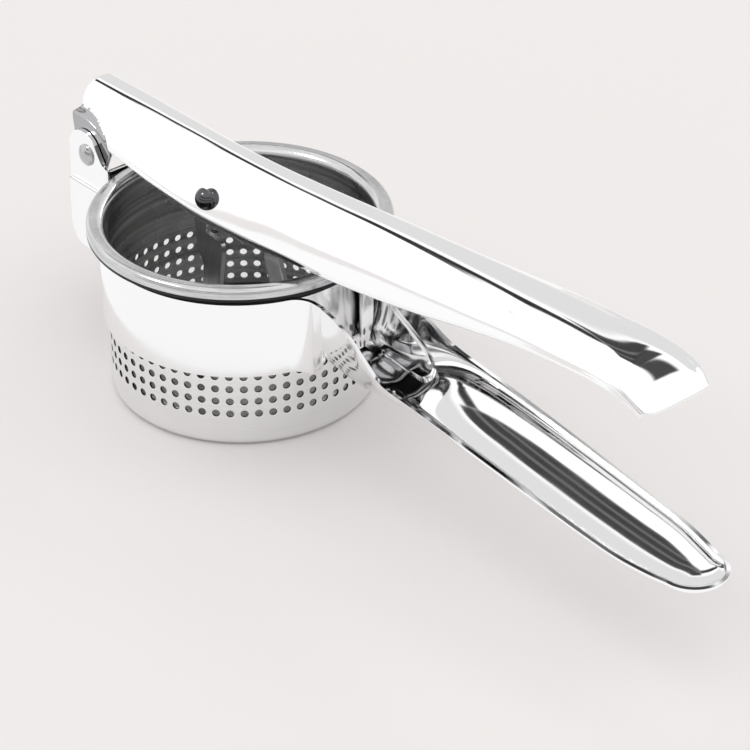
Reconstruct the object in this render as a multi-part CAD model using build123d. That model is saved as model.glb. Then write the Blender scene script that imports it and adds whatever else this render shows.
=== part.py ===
from build123d import *
import math
import os

# Potato ricer, millimetres. Origin: centre of the underside of the cup.
# +X runs to the free end of the handles, +Z is up.

os.makedirs("parts", exist_ok=True)

# cup
CUP_TOP_Z = 57.0
CUP_R_BASE = 40.6
CUP_R_TOP = 41.0
CUP_WALL = 0.8
CUP_CORNER_R = 3.0
RIM_R = 46.0
RIM_LIP_Z = 53.0
HOLE_D = 2.3
HOLE_COLUMNS = 60
HOLE_ROWS = 5
HOLE_FIRST_Z = 11.6
HOLE_ROW_PITCH = 4.25
HOLE_TURN = 3.0
BASE_HOLE_PITCH = 5.0
BASE_HOLE_RING_MAX = 7

# strap round the cup
STRAP_R_IN = 41.2
STRAP_T = 1.2
STRAP_Z0 = 25.4
STRAP_Z1 = 50.0
BACK_ARM_Y = 14.9
BACK_ARM_END_X = -66.0
NECK_Y = 10.5
NECK_END_X = 49.8
ARM_TOP_Z = 47.5
NECK_FILLET = 7.0

# pivot and hinge bracket
PIVOT_X = -57.8
PIVOT_Z = 57.9
EAR_T = 1.5
EAR_R = 7.0
EAR_X = -59.6
EAR_Z = 58.4
WEB_X = -50.0
WEB_TOP_Z = 55.0
PIN_D = 5.0
PIN_CLEARANCE = 0.05
HEAD_D = 7.0
PIVOT_HEAD_H = 1.8

# lower handle: station x, half width, edge height, depth, section exponent
TROUGH_T = 1.2
TROUGH = [
    (50.0, 10.9, 50.0, 20.6, 4.0),
    (56.0, 11.9, 49.9, 20.8, 3.7),
    (61.0, 12.7, 48.9, 20.4, 3.3),
    (66.0, 13.4, 47.2, 19.0, 2.9),
    (70.0, 14.0, 45.2, 16.8, 2.6),
    (74.0, 14.4, 43.0, 13.8, 2.4),
    (78.0, 14.85, 41.2, 11.0, 2.2),
    (83.0, 15.1, 40.0, 8.6, 2.1),
    (90.0, 15.0, 39.3, 6.9, 2.0),
    (100.0, 14.85, 38.3, 5.8, 2.0),
    (116.0, 14.65, 36.4, 5.2, 2.0),
    (140.0, 14.3, 33.5, 4.8, 2.0),
    (160.0, 13.9, 31.2, 4.6, 2.0),
    (174.0, 13.2, 29.7, 4.4, 2.0),
    (184.0, 11.5, 28.8, 4.2, 2.0),
    (189.3, 10.2, 28.5, 4.0, 2.0),
]

# upper handle: station x, half width, lower edge, crown height, crown half width, fullness
LEVER_T = 1.0
LEVER = [
    (-67.0, 11.2, 62.0, 77.2, 4.0, 0.62),
    (-48.0, 12.0, 62.0, 77.4, 4.0, 0.62),
    (-25.0, 12.7, 59.6, 77.5, 4.0, 0.62),
    (-3.0, 13.0, 57.7, 77.8, 4.0, 0.62),
    (18.0, 13.2, 59.0, 78.7, 4.1, 0.63),
    (40.0, 13.5, 61.8, 80.3, 4.3, 0.65),
    (66.0, 13.8, 65.0, 82.4, 4.6, 0.67),
    (92.0, 14.0, 69.4, 84.1, 5.0, 0.70),
    (114.0, 14.0, 74.0, 85.3, 5.4, 0.73),
    (134.0, 13.9, 77.5, 86.1, 5.8, 0.76),
    (152.0, 13.8, 79.5, 86.3, 6.0, 0.78),
    (162.0, 13.75, 80.1, 86.0, 6.3, 0.80),
    (170.0, 13.7, 79.6, 84.9, 6.8, 0.82),
    (176.0, 13.5, 78.7, 82.8, 7.6, 0.84),
    (180.0, 13.2, 77.7, 80.4, 8.4, 0.85),
    (183.2, 12.8, 76.6, 78.2, 9.0, 0.86),
]
LUG_Y = 11.9
LUG_T = 1.2
LUG_R = 7.5

# plunger
LINK_X = -1.9
LINK_Z = 64.9
LINK_HEAD_H = 3.3
YOKE_T = 1.5
YOKE_X0 = -3.4
YOKE_X1 = 4.6
YOKE_TOP_Z = 53.5
YOKE_EYE_R = 5.5
PLATE_R = 37.4
PLATE_Z = 4.3
PLATE_T = 1.2
PLATE_LIP_H = 4.0


def box(x0, x1, y0, y1, z0, z1):
    """Plain block between two corners."""
    return Pos((x0 + x1) / 2, (y0 + y1) / 2, (z0 + z1) / 2) * Box(x1 - x0, y1 - y0, z1 - z0)


def rod(x, z, r, y0, y1):
    """Cylinder lying along Y."""
    return Pos(x, (y0 + y1) / 2, z) * Rot(90, 0, 0) * Cylinder(r, y1 - y0)


def head(x, z, y0, y1, r, h, side):
    """Round rivet head: a collar from y0 to y1, then a low dome, bulging towards side * Y."""
    a0, a1 = abs(y0), abs(y1)
    ball_r = (r * r + h * h) / (2 * h)
    mid = math.asin(r / ball_r) / 2
    my = a1 + h - ball_r + ball_r * math.cos(mid)
    rim = Line((0, a0), (r, a0)) + Line((r, a0), (r, a1))
    cap = ThreePointArc((r, a1), (ball_r * math.sin(mid), my), (0, a1 + h))
    face = make_face(rim + cap + Line((0, a1 + h), (0, a0)))
    body = revolve(face, Axis.Y, 360)
    if side < 0:
        body = Rot(180, 0, 0) * body
    return Pos(x, 0, z) * body


def xz_plate(points, y0, y1):
    """Closed outline in the XZ plane, made solid from y0 to y1."""
    wire = Wire(Polyline(*[(x, y0, z) for x, z in points], close=True).edges())
    return Solid.extrude(Face(wire), Vector(0, y1 - y0, 0))


# ---------------------------------------------------------------- cup

def cup_radius(z):
    return CUP_R_BASE + (CUP_R_TOP - CUP_R_BASE) * z / CUP_TOP_Z


def basket():
    """Drawn cup with a turned over rim, perforated low on the wall and in the base."""
    t = CUP_WALL
    c = CUP_CORNER_R
    k = 1 - math.sqrt(0.5)
    flare = 2.4
    neck_z = CUP_TOP_Z - flare
    rn = cup_radius(neck_z)
    lip = 1.2
    line = [
        Line((0, 0), (CUP_R_BASE - c, 0)),
        ThreePointArc((CUP_R_BASE - c, 0), (CUP_R_BASE - c * k, c * k), (CUP_R_BASE, c)),
        Line((CUP_R_BASE, c), (rn, neck_z - t)),
        ThreePointArc((rn, neck_z - t), (rn + (flare - t) * k + 0.25, CUP_TOP_Z - t - (flare - t) * k - 0.25),
                      (rn + flare - t + 0.6, CUP_TOP_Z - t)),
        Line((rn + flare - t + 0.6, CUP_TOP_Z - t), (RIM_R - lip - 0.4, CUP_TOP_Z - t)),
        ThreePointArc((RIM_R - lip - 0.4, CUP_TOP_Z - t), (RIM_R - t - 0.2, CUP_TOP_Z - t - 0.25),
                      (RIM_R - t, CUP_TOP_Z - t - 0.8)),
        Line((RIM_R - t, CUP_TOP_Z - t - 0.8), (RIM_R - t, RIM_LIP_Z)),
        Line((RIM_R - t, RIM_LIP_Z), (RIM_R, RIM_LIP_Z)),
        Line((RIM_R, RIM_LIP_Z), (RIM_R, CUP_TOP_Z - 1.4)),
        ThreePointArc((RIM_R, CUP_TOP_Z - 1.4), (RIM_R - 0.41, CUP_TOP_Z - 0.41), (RIM_R - 1.4, CUP_TOP_Z)),
        Line((RIM_R - 1.4, CUP_TOP_Z), (rn + flare, CUP_TOP_Z)),
        ThreePointArc((rn + flare, CUP_TOP_Z), (rn - t + (flare + t) * k, CUP_TOP_Z - (flare + t) * k),
                      (rn - t, CUP_TOP_Z - flare - t)),
        Line((rn - t, CUP_TOP_Z - flare - t), (CUP_R_BASE - t, c)),
        ThreePointArc((CUP_R_BASE - t, c), (CUP_R_BASE - t - (c - t) * k, t + (c - t) * k),
                      (CUP_R_BASE - c, t)),
        Line((CUP_R_BASE - c, t), (0, t)),
        Line((0, t), (0, 0)),
    ]
    profile = make_face(Wire([e for part in line for e in part.edges()]).edges())
    cup = revolve(Plane.XZ * profile, Axis.Z, 360)
    tools = []
    for row in range(HOLE_ROWS):
        z = HOLE_FIRST_Z + row * HOLE_ROW_PITCH
        for col in range(HOLE_COLUMNS):
            a = HOLE_TURN + col * 360 / HOLE_COLUMNS
            tools.append(Rot(0, 0, a) * Pos(CUP_R_BASE - 0.4, 0, z) * Rot(0, 90, 0) * Cylinder(HOLE_D / 2, 4))
    for ring in range(1, BASE_HOLE_RING_MAX + 1):
        count = 6 * ring
        for i in range(count):
            a = 2 * math.pi * i / count
            r = ring * BASE_HOLE_PITCH
            tools.append(Pos(r * math.cos(a), r * math.sin(a), 0) * Cylinder(HOLE_D / 2, 6))
    return cup.solid().cut(*[t.solid() for t in tools])


# ---------------------------------------------------------------- strap, bracket

def strap_outline(r, back_y, back_x, neck_y, front_x, fillet_r):
    """Plan outline: a circle with a parallel neck behind it and a narrower one in front."""
    back = Pos(back_x / 2, 0) * Rectangle(-back_x, 2 * back_y)
    front = Pos(front_x / 2, 0) * Rectangle(front_x, 2 * neck_y)
    shape = Circle(r) + back + front
    corners = []
    for v in shape.vertices():
        rad = math.hypot(v.X, v.Y)
        if abs(rad - r) < 0.05:
            corners.append(v)
    return fillet(corners, fillet_r)


def strap_half(side):
    """One half of the strap: tongue, half ring and rear arm in a single strip."""
    t = STRAP_T
    outer = strap_outline(STRAP_R_IN + t, BACK_ARM_Y, BACK_ARM_END_X, NECK_Y, NECK_END_X + 4, NECK_FILLET)
    inner = strap_outline(STRAP_R_IN, BACK_ARM_Y - t, BACK_ARM_END_X - 2, NECK_Y - t, NECK_END_X + 6,
                          NECK_FILLET + t)
    ring = extrude(outer - inner, STRAP_Z1 - STRAP_Z0)
    ring = Pos(0, 0, STRAP_Z0) * ring
    half = ring & box(-90, 100, min(0, side * 60), max(0, side * 60), 0, 80)
    # the neck narrows upward, then a tongue lies on the inner wall of the handle channel
    cut = xz_plate([(43, 20), (45, STRAP_Z0), (48, 28.6), (NECK_END_X, 32.0), (NECK_END_X, 60), (90, 60),
                    (90, 20)], -30, 30)
    half = half - cut
    # the rear arm is a little lower than the ring
    step = xz_plate([(-80, ARM_TOP_Z), (-47, ARM_TOP_Z), (-42, STRAP_Z1), (-42, 60), (-80, 60)], -30, 30)
    half = half - step
    liner = trough_solid(TROUGH_T, 3.0, TROUGH[0][0] - 3)
    liner = liner - trough_solid(TROUGH_T + 1.0, 4.0, TROUGH[0][0] - 3)
    outline = Wire([
        Line((48.0, 0, 33.6), (56, 0, 31.2)),
        Spline((56, 0, 31.2), (66, 0, 29.6), (73, 0, 30.0)),
        Spline((73, 0, 30.0), (76.4, 0, 31.0), (77.4, 0, 32.2), (76.3, 0, 33.4)),
        Spline((76.3, 0, 33.4), (72.5, 0, 35.2), (67.5, 0, 37.9), (62.2, 0, 41.2), (58.5, 0, 43.8), (54.5, 0, 47.6)),
        Line((54.5, 0, 47.6), (48.0, 0, 49.8)),
        Line((48.0, 0, 49.8), (48.0, 0, 33.6)),
    ])
    tongue = liner & Solid.extrude(Face(outline), Vector(0, side * 40, 0))
    tongue = tongue & box(40, 90, min(side * 7.5, side * 40), max(side * 7.5, side * 40), 0, 80)
    half = half + tongue
    corner = box(BACK_ARM_END_X - 1, BACK_ARM_END_X + 6, -20, 20, STRAP_Z0 - 1, STRAP_Z0 + 6)
    corner -= rod(BACK_ARM_END_X + 6, STRAP_Z0 + 6, 6, -21, 21)
    return (half - corner).solids().sort_by(SortBy.VOLUME)[-1]


def hinge_bracket():
    """U bracket: two ears with the pivot holes, joined by a web next to the cup."""
    yo = BACK_ARM_Y - STRAP_T
    left = EAR_X - EAR_R
    body = None
    for side in (-1, 1):
        y0, y1 = sorted((side * yo, side * (yo - EAR_T)))
        ear = box(left, WEB_X, y0, y1, STRAP_Z0 + 3, WEB_TOP_Z) + rod(EAR_X, EAR_Z, EAR_R, y0, y1)
        flank = xz_plate([(left, 50), (left, EAR_Z), (EAR_X, EAR_Z), (-53.8, 62.3), (WEB_X, 56.6), (WEB_X, 50)],
                         y0, y1)
        ear = ear + flank
        body = ear if body is None else body + ear
    web = box(WEB_X, WEB_X + EAR_T, -yo, yo, STRAP_Z0 + 3, WEB_TOP_Z)
    body = body + web
    edges = [e for e in body.edges() if abs(e.center().X - (WEB_X + EAR_T)) < 0.01
             and abs(abs(e.center().Y) - yo) < 0.01 and e.length > 20]
    body = fillet(edges, 1.4)
    return (body - rod(PIVOT_X, PIVOT_Z, PIN_D / 2, -20, 20)).solid()


def pivot_pin():
    """Round headed rivet through both ears and both handle lugs."""
    yo = BACK_ARM_Y - STRAP_T
    pin = rod(PIVOT_X, PIVOT_Z, PIN_D / 2, -yo, yo)
    for side in (-1, 1):
        pin += head(PIVOT_X, PIVOT_Z, yo, yo + 0.4, HEAD_D / 2, PIVOT_HEAD_H - 0.4, side)
    return pin.solid()


# ---------------------------------------------------------------- lower handle

def trough_section(x, w, ze, depth, p, grow_up):
    """Cross section of the channel, flat on top, at station x."""
    pts = []
    n = 12
    for i in range(n + 1):
        a = math.pi * i / n
        c, s = math.cos(a), math.sin(a)
        y = -w * math.copysign(abs(c) ** (2 / p), c)
        z = ze - depth * abs(s) ** (2 / p) if 0 < i < n else ze
        pts.append((x, y, z))
    low = Spline(*pts)
    sides = Polyline((x, w, ze), (x, w, ze + grow_up), (x, -w, ze + grow_up), (x, -w, ze))
    return Face(Wire([low.edge()] + list(sides.edges())))


def trough_solid(inset, grow_up, first_x):
    rows = []
    if first_x < TROUGH[0][0]:
        x, w, ze, depth, p = TROUGH[0]
        rows.append(trough_section(first_x, w - inset - 0.4, ze, depth - inset, p, grow_up))
    for x, w, ze, depth, p in TROUGH:
        rows.append(trough_section(x, w - inset, ze, depth - inset, p, grow_up))
    body = Solid.make_loft([f.outer_wire() for f in rows])
    # round spoon end
    x, w, ze, depth, p = TROUGH[-1]
    f = trough_section(x, w - inset, ze, depth - inset, p, grow_up)
    halfbox = Plane.YZ.offset(x) * Rectangle(200, 200)
    half = f & Face.make_rect(100, 100, Plane((x, 50, ze), z_dir=(1, 0, 0)))
    half = half.faces()[0] if hasattr(half, "faces") else half
    end = revolve(half, Axis((x, 0, ze), (0, 0, 1)), 360)
    return body + end


def lower_handle():
    """Open topped channel with a rounded end."""
    outer = trough_solid(0, 0.4, TROUGH[0][0])
    inner = trough_solid(TROUGH_T, 3.0, TROUGH[0][0] - 3)
    body = outer - inner
    return body.solids().sort_by(SortBy.VOLUME)[-1]


# ---------------------------------------------------------------- upper handle

def lever_half(w, zb, zt, c, full):
    """Points from the lower edge up one side to the middle of the crown."""
    h = zt - zb
    knee_y = c + (w - c) * full
    knee_z = zb + h * (0.50 + 0.10 * (full - 0.62) / 0.18)
    return [
        (w, zb),
        (w - 0.10 * (w - knee_y), zb + 0.22 * (knee_z - zb)),
        (knee_y, knee_z),
        (c + 0.32 * (w - c), zt - 0.20 * h),
        (c * 0.80, zt - 0.035 * h),
        (0, zt),
    ]


def lever_section(x, w, zb, zt, c, full, drop):
    half = lever_half(w, zb, zt, c, full)
    pts = [(x, -y, z) for y, z in half] + [(x, y, z) for y, z in reversed(half[:-1])]
    arch = Spline(*pts)
    if drop > 0:
        foot = Polyline((x, w, zb), (x, w, zb - drop), (x, -w, zb - drop), (x, -w, zb))
    else:
        foot = Line((x, w, zb), (x, -w, zb))
    return Wire([arch.edge()] + list(foot.edges()))


def lever_solid(inset, drop, x0, x1):
    rows = []
    for i, (x, w, zb, zt, c, full) in enumerate(LEVER):
        xx = x0 if i == 0 else x
        rows.append(lever_section(xx, w - inset, zb, zt - inset, c, full, drop))
    if x1 > LEVER[-1][0]:
        x, w, zb, zt, c, full = LEVER[-1]
        rows.append(lever_section(x1, w - inset, zb, zt - inset - 0.2, c, full, drop))
    return Solid.make_loft(rows)


def upper_handle():
    """Arched lever with cut away cheeks and a pair of set out pivot lugs."""
    x0, x1 = LEVER[0][0], LEVER[-1][0]
    outer = lever_solid(0, 0, x0, x1)
    inner = lever_solid(LEVER_T, 6, x0 - 3, x1 + 1)
    shell = outer - inner
    # relief of the cheeks over the lugs
    step = [(x0 - 4, 69.6), (-62, 69.5), (-57, 68.4), (-53, 66.4), (-50.2, 64.0), (-48.4, 60.0)]
    relief = xz_plate([(x, z) for x, z in step] + [(-48.4, 40), (x0 - 4, 40)], -30, 30)
    shell = shell - relief
    body = shell.solids().sort_by(SortBy.VOLUME)[-1]
    # ledge that follows the relief and carries the lugs
    upper = [(x, z + 1.0) for x, z in step[:-1]] + [(-47.4, 61.0)]
    upper[0] = (x0 + 0.6, upper[0][1])
    lower = [(x0 + 0.6, step[0][1] - 0.2)] + [(x, z - 0.2) for x, z in step[1:-1]] + [(-48.6, 60.0)]
    for side in (-1, 1):
        y0, y1 = sorted((side * 8.0, side * LUG_Y))
        ledge = xz_plate(upper + lower[::-1], y0, y1) - inner
        body = body + ledge
        y0, y1 = sorted((side * (LUG_Y - LUG_T), side * LUG_Y))
        lug = rod(PIVOT_X, PIVOT_Z, LUG_R, y0, y1)
        lug = lug + xz_plate([(PIVOT_X - LUG_R, PIVOT_Z)] + [(x0 + 0.6, 66.0), (x0 + 0.6, 69.9)]
                             + [(x, z + 0.3) for x, z in step[1:-1]] + [(-49.4, 61.2), (-51.2, PIVOT_Z - 2)],
                             y0, y1)
        body = body + lug
    holes = rod(PIVOT_X, PIVOT_Z, PIN_D / 2 + PIN_CLEARANCE, -20, 20)
    holes += rod(LINK_X, LINK_Z, PIN_D / 2, -20, 20)
    body = body - holes
    return body.solids().sort_by(SortBy.VOLUME)[-1]


# ---------------------------------------------------------------- plunger

def plunger_pin():
    """Round headed rivet across the lever, carrying the yoke."""
    filled = lever_solid(0, 6, LEVER[0][0] - 3, LEVER[-1][0])
    pin = rod(LINK_X, LINK_Z, PIN_D / 2, -12.0, 12.0)
    for side in (-1, 1):
        pin = pin + (head(LINK_X, LINK_Z, 9.0, 12.0, HEAD_D / 2, LINK_HEAD_H, side) - filled)
    return pin.solids().sort_by(SortBy.VOLUME)[-1]


def plunger_yoke():
    """Bent strip: a web on the press plate and two splayed legs with eyes for the rivet."""
    t = YOKE_T
    z0 = PLATE_Z + PLATE_T
    top = LINK_Z + YOKE_EYE_R + 1.0
    outer = [(5.7, top), (8.3, 67.0), (9.7, 62.0), (10.4, 56.0), (10.4, 54.0), (12.6, 36.0), (14.3, 28.0), (17.2, 12.0), (17.6, z0 + 2.6), (16.4, z0)]
    inner = [(y - t, z) for y, z in outer[:-2]] + [(17.6 - t, z0 + 2.9), (15.6, z0 + t)]
    pts = [(-20, -y, z) for y, z in outer] + [(-20, y, z) for y, z in outer[::-1]]
    pts += [(-20, y, z) for y, z in inner] + [(-20, -y, z) for y, z in inner[::-1]]
    face = Face(Wire(Polyline(*pts, close=True).edges()))
    strip = Solid.extrude(face, Vector(40, 0, 0))
    mid = (YOKE_X0 + YOKE_X1) / 2
    half = (YOKE_X1 - YOKE_X0) / 2
    keep = box(YOKE_X0, YOKE_X1, -20, 20, 0, YOKE_TOP_Z - half) + rod(mid, YOKE_TOP_Z - half, half, -20, 20)
    keep = keep + rod(LINK_X, LINK_Z, YOKE_EYE_R, -20, 20)
    keep = keep + xz_plate([(LINK_X - YOKE_EYE_R, LINK_Z), (-9.0, 55.0), (-6.6, 46.0), (YOKE_X0, 42.0),
                            (-1.0, 48.0), (YOKE_X0, 55.0), (LINK_X + 4.4, LINK_Z - 3.3)], -20, 20)
    strip = strip & keep
    strip = strip - rod(LINK_X, LINK_Z, PIN_D / 2 + PIN_CLEARANCE, -20, 20)
    return strip.solids().sort_by(SortBy.VOLUME)[-1]


def press_plate():
    """Round plate with a turned up edge."""
    r, t, z = PLATE_R, PLATE_T, PLATE_Z
    pts = [(0, z), (r - 1.6, z), (r, z + 1.6), (r, z + PLATE_LIP_H), (r - t, z + PLATE_LIP_H),
           (r - t, z + 2.0), (r - 2.0, z + t), (0, z + t)]
    face = make_face(Polyline(*pts, close=True))
    return revolve(Plane.XZ * face, Axis.Z, 360).solid()


def main():
    nodes = {
        "basket": basket(),
        "strap_near": strap_half(-1),
        "strap_far": strap_half(1),
        "hinge_bracket": hinge_bracket(),
        "pivot_pin": pivot_pin(),
        "lower_handle": lower_handle(),
        "upper_handle": upper_handle(),
        "plunger_pin": plunger_pin(),
        "plunger_yoke": plunger_yoke(),
        "press_plate": press_plate(),
    }
    for name, solid in nodes.items():
        solid.label = name
        export_step(solid, os.path.join("parts", name + ".step"))
        bb = solid.bounding_box()
        print(name, "%.1f cm3" % (solid.volume / 1000), "valid", solid.is_valid,
              [round(v, 1) for v in (bb.min.X, bb.min.Y, bb.min.Z, bb.max.X, bb.max.Y, bb.max.Z)])


main()
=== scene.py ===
import math

import bpy
import bmesh
from mathutils import Matrix, Vector


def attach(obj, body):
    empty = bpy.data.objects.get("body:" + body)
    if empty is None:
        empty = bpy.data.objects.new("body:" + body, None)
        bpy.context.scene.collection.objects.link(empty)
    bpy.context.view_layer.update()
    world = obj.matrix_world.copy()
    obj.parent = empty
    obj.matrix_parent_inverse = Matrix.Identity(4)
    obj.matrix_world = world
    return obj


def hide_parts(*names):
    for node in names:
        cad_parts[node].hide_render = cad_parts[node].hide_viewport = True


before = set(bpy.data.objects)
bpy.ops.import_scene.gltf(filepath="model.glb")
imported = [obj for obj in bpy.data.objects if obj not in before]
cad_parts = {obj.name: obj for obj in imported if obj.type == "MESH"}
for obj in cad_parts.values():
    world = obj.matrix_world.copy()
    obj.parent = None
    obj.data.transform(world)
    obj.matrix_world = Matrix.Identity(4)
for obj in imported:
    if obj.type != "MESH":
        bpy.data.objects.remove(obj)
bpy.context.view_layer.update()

MM = 0.001

# ---------------------------------------------------------------- sizes shared with the CAD, millimetres
CUP_R_BASE, CUP_R_TOP, CUP_H, CUP_WALL, CUP_CORNER = 40.6, 41.0, 57.0, 0.8, 3.0
RIM_R, RIM_LIP_Z = 46.0, 53.0
HOLE_D, HOLE_COLUMNS, HOLE_ROWS = 2.3, 60, 5
HOLE_FIRST_Z, HOLE_ROW_PITCH, HOLE_TURN = 11.6, 4.25, 3.0
BASE_PITCH, BASE_RINGS = 5.0, 7
STRAP_R, STRAP_T, STRAP_Z0, STRAP_Z1 = 41.2, 1.2, 25.4, 50.0
ARM_Y, ARM_X, ARM_TOP_Z, NECK_Y, NECK_X, FILLET = 14.9, -66.0, 47.5, 10.5, 49.8, 7.0
PIVOT_X, PIVOT_Z, EAR_T = -57.8, 57.9, 1.5
EAR_R, EAR_X, EAR_Z, WEB_X, WEB_TOP_Z = 7.0, -59.6, 58.4, -50.0, 55.0
LINK_X, LINK_Z, HEAD_R, PIN_R = -1.9, 64.9, 3.5, 2.5
TONGUE_T = 1.0
TROUGH_T = 1.2
# lower handle's sections: (x, half width, edge height, depth, roundness power)
TROUGH = [
    (50.0, 10.9, 50.0, 20.6, 4.0),
    (56.0, 11.9, 49.9, 20.8, 3.7),
    (61.0, 12.7, 48.9, 20.4, 3.3),
    (66.0, 13.4, 47.2, 19.0, 2.9),
    (70.0, 14.0, 45.2, 16.8, 2.6),
    (74.0, 14.4, 43.0, 13.8, 2.4),
    (78.0, 14.85, 41.2, 11.0, 2.2),
    (83.0, 15.1, 40.0, 8.6, 2.1),
    (90.0, 15.0, 39.3, 6.9, 2.0),
    (100.0, 14.85, 38.3, 5.8, 2.0),
    (116.0, 14.65, 36.4, 5.2, 2.0),
    (140.0, 14.3, 33.5, 4.8, 2.0),
    (160.0, 13.9, 31.2, 4.6, 2.0),
    (174.0, 13.2, 29.7, 4.4, 2.0),
    (184.0, 11.5, 28.8, 4.2, 2.0),
    (189.3, 10.2, 28.5, 4.0, 2.0),
]
TIP_R = 10.2
LEVER_T = 1.0
# upper handle's sections: (x, half width, lower edge height, top height, crown half width, fullness)
LEVER = [
    (-67.0, 11.2, 62.0, 77.2, 4.0, 0.62),
    (-48.0, 12.0, 62.0, 77.4, 4.0, 0.62),
    (-25.0, 12.7, 59.6, 77.5, 4.0, 0.62),
    (-3.0, 13.0, 57.7, 77.8, 4.0, 0.62),
    (18.0, 13.2, 59.0, 78.7, 4.1, 0.63),
    (40.0, 13.5, 61.8, 80.3, 4.3, 0.65),
    (66.0, 13.8, 65.0, 82.4, 4.6, 0.67),
    (92.0, 14.0, 69.4, 84.1, 5.0, 0.70),
    (114.0, 14.0, 74.0, 85.3, 5.4, 0.73),
    (134.0, 13.9, 77.5, 86.1, 5.8, 0.76),
    (152.0, 13.8, 79.5, 86.3, 6.0, 0.78),
    (162.0, 13.75, 80.1, 86.0, 6.3, 0.80),
    (170.0, 13.7, 79.6, 84.9, 6.8, 0.82),
    (176.0, 13.5, 78.7, 82.8, 7.6, 0.84),
    (180.0, 13.2, 77.7, 80.4, 8.4, 0.85),
    (183.2, 12.8, 76.6, 78.2, 9.0, 0.86),
]
# lower edge of the upper handle where it is relieved over the lugs: (x, z)
# the ends differ a little from the CAD's, which cuts past the sheet
STEP = [(-66.4, 69.5), (-62.0, 69.5), (-57.0, 68.4), (-53.0, 66.4), (-50.2, 64.0), (-48.4, 61.6)]
LUG_Y, LUG_T, LUG_R = 11.9, 1.2, 7.5
YOKE_T, YOKE_X0, YOKE_X1, YOKE_TOP_Z, YOKE_EYE_R = 1.5, -3.4, 4.6, 53.5, 5.5
PLATE_R, PLATE_Z, PLATE_T, PLATE_LIP = 37.4, 4.3, 1.2, 4.0

# ---------------------------------------------------------------- sizes of this model only, millimetres
LUG_SHEET_T = LUG_T * 0.9
TONGUE_GAP = 0.03
# edges sharper than this many degrees are rounded
BEVEL_ANGLE = 50
# heights and slopes that choose which steel a face gets, and with it where shade and dark reflections are
# painted in
HOLE_WALL_Z = (10.0, 30.0)
GROOVE_Z = (49.2, 55.2)
LIP_TOP_Z = RIM_LIP_Z + 1.3
RIM_FROM_Z = 52.5
INSIDE_TOP_Z = 55.5
STRAP_EDGE_NORMAL = (0.25, 0.93)


# ---------------------------------------------------------------- small numeric helpers

def tangents(rows, k):
    """Slopes of a smooth curve through column k of rows, whose column 0 is x."""
    n = len(rows)
    m = []
    for i in range(n):
        a = rows[max(i - 1, 0)]
        b = rows[min(i + 1, n - 1)]
        m.append((b[k] - a[k]) / (b[0] - a[0]))
    return m


def smooth(rows, x):
    """Row values at x, by a smooth cubic through the rows."""
    n = len(rows)
    i = 0
    while i < n - 2 and x > rows[i + 1][0]:
        i += 1
    a, b = rows[i], rows[i + 1]
    h = b[0] - a[0]
    t = (x - a[0]) / h
    out = []
    for k in range(1, len(a)):
        m = tangents(rows, k)
        h00 = 2 * t ** 3 - 3 * t ** 2 + 1
        h10 = t ** 3 - 2 * t ** 2 + t
        h01 = -2 * t ** 3 + 3 * t ** 2
        h11 = t ** 3 - t ** 2
        out.append(h00 * a[k] + h10 * h * m[i] + h01 * b[k] + h11 * h * m[i + 1])
    return out


def lerp(table, x):
    """Value at x of a table of (x, value) joined by straight runs."""
    for (xa, za), (xb, zb) in zip(table, table[1:]):
        if xa <= x <= xb:
            return za + (zb - za) * (x - xa) / (xb - xa)
    return table[0][1] if x < table[0][0] else table[-1][1]


def catmull(points, steps):
    """Dense points along a smooth curve through points."""
    out = []
    n = len(points)
    for i in range(n - 1):
        p0 = points[max(i - 1, 0)]
        p1, p2 = points[i], points[i + 1]
        p3 = points[min(i + 2, n - 1)]
        for s in range(steps):
            t = s / steps
            out.append(tuple(
                0.5 * ((2 * b) + (c - a) * t + (2 * a - 5 * b + 4 * c - d) * t * t
                       + (3 * b - a - 3 * c + d) * t ** 3)
                for a, b, c, d in zip(p0, p1, p2, p3)))
    out.append(tuple(points[-1]))
    return out


def resample(points, count):
    """count points evenly spaced along a polyline."""
    acc = [0.0]
    for a, b in zip(points, points[1:]):
        acc.append(acc[-1] + math.dist(a, b))
    out = []
    j = 0
    for i in range(count):
        s = acc[-1] * i / (count - 1)
        while j < len(acc) - 2 and acc[j + 1] < s:
            j += 1
        span = acc[j + 1] - acc[j]
        t = 0 if span == 0 else (s - acc[j]) / span
        out.append(tuple(a + (b - a) * t for a, b in zip(points[j], points[j + 1])))
    return out


# ---------------------------------------------------------------- mesh helpers

def shade_smooth(mesh):
    for p in mesh.polygons:
        p.use_smooth = True


def new_object(name, verts, faces):
    """Smooth shaded mesh object from points in millimetres."""
    me = bpy.data.meshes.new(name)
    me.from_pydata([tuple(c * MM for c in v) for v in verts], [], faces)
    me.validate()
    bm = bmesh.new()
    bm.from_mesh(me)
    bmesh.ops.remove_doubles(bm, verts=bm.verts, dist=2e-6)
    bmesh.ops.recalc_face_normals(bm, faces=bm.faces)
    bm.to_mesh(me)
    bm.free()
    ob = bpy.data.objects.new(name, me)
    bpy.context.scene.collection.objects.link(ob)
    shade_smooth(me)
    return ob


def grid_faces(rows, cols, close_cols=False, offset=0):
    """Faces of a grid of points stored row by row."""
    faces = []
    for i in range(rows - 1):
        for j in range(cols if close_cols else cols - 1):
            k = (j + 1) % cols
            faces.append((offset + i * cols + j, offset + i * cols + k,
                          offset + (i + 1) * cols + k, offset + (i + 1) * cols + j))
    return faces


def apply_modifiers(ob):
    deps = bpy.context.evaluated_depsgraph_get()
    me = bpy.data.meshes.new_from_object(ob.evaluated_get(deps))
    ob.modifiers.clear()
    ob.data = me


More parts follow.
